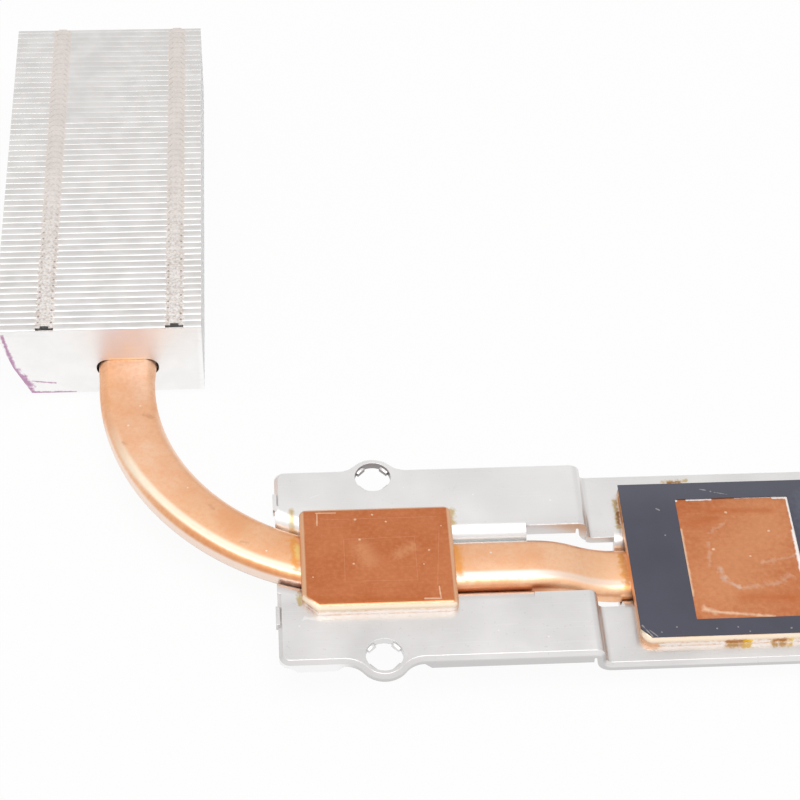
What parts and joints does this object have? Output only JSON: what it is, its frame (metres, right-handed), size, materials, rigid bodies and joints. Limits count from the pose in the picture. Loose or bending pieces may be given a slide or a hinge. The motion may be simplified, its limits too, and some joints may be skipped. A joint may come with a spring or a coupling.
{
  "type": "laptop cooling heatsink",
  "caption": "L-shaped laptop cooling heatsink: a stamped bracket with two copper contact plates, one film-masked, and a flattened heat pipe that bends into a folded-fin stack.",
  "frame": {"origin": "centre of the processor plate's contact face", "axes": "+Z out of the contact face, away from the board side of the bracket; +X along the bracket towards the graphics plate; +Y along the fin stack, away from the bracket"},
  "size_m": [0.1144, 0.1183, 0.0133],
  "materials": {
    "fin_foil": "satin",
    "bracket_sheet": "satin, lightly scuffed",
    "pipe_copper": "bright annealed copper",
    "plate_copper": "brushed copper",
    "film": "matt insulating film"
  },
  "bodies": {
    "root": {"heat_pipe": "pipe_copper", "bracket": "bracket_sheet", "cpu_plate": "plate_copper", "gpu_plate": "plate_copper", "insulating_film": "film", "fin_01": "fin_foil", "fin_02": "fin_foil", "fin_03": "fin_foil", "fin_04": "fin_foil", "fin_05": "fin_foil", "fin_06": "fin_foil", "fin_07": "fin_foil", "fin_08": "fin_foil", "fin_09": "fin_foil", "fin_10": "fin_foil", "fin_11": "fin_foil", "fin_12": "fin_foil", "fin_13": "fin_foil", "fin_14": "fin_foil", "fin_15": "fin_foil", "fin_16": "fin_foil", "fin_17": "fin_foil", "fin_18": "fin_foil", "fin_19": "fin_foil", "fin_20": "fin_foil", "fin_21": "fin_foil", "fin_22": "fin_foil", "fin_23": "fin_foil", "fin_24": "fin_foil", "fin_25": "fin_foil", "fin_26": "fin_foil", "fin_27": "fin_foil", "fin_28": "fin_foil", "fin_29": "fin_foil", "fin_30": "fin_foil", "fin_31": "fin_foil", "fin_32": "fin_foil", "fin_33": "fin_foil", "fin_34": "fin_foil", "fin_35": "fin_foil", "fin_36": "fin_foil", "fin_37": "fin_foil", "fin_38": "fin_foil", "fin_39": "fin_foil", "fin_40": "fin_foil", "fin_41": "fin_foil", "fin_42": "fin_foil", "fin_43": "fin_foil", "fin_44": "fin_foil", "fin_45": "fin_foil", "fin_46": "fin_foil", "fin_47": "fin_foil", "fin_48": "fin_foil", "fin_49": "fin_foil", "fin_50": "fin_foil", "fin_51": "fin_foil", "fin_52": "fin_foil", "fin_53": "fin_foil", "fin_54": "fin_foil", "fin_55": "fin_foil"}
  },
  "joints": []
}
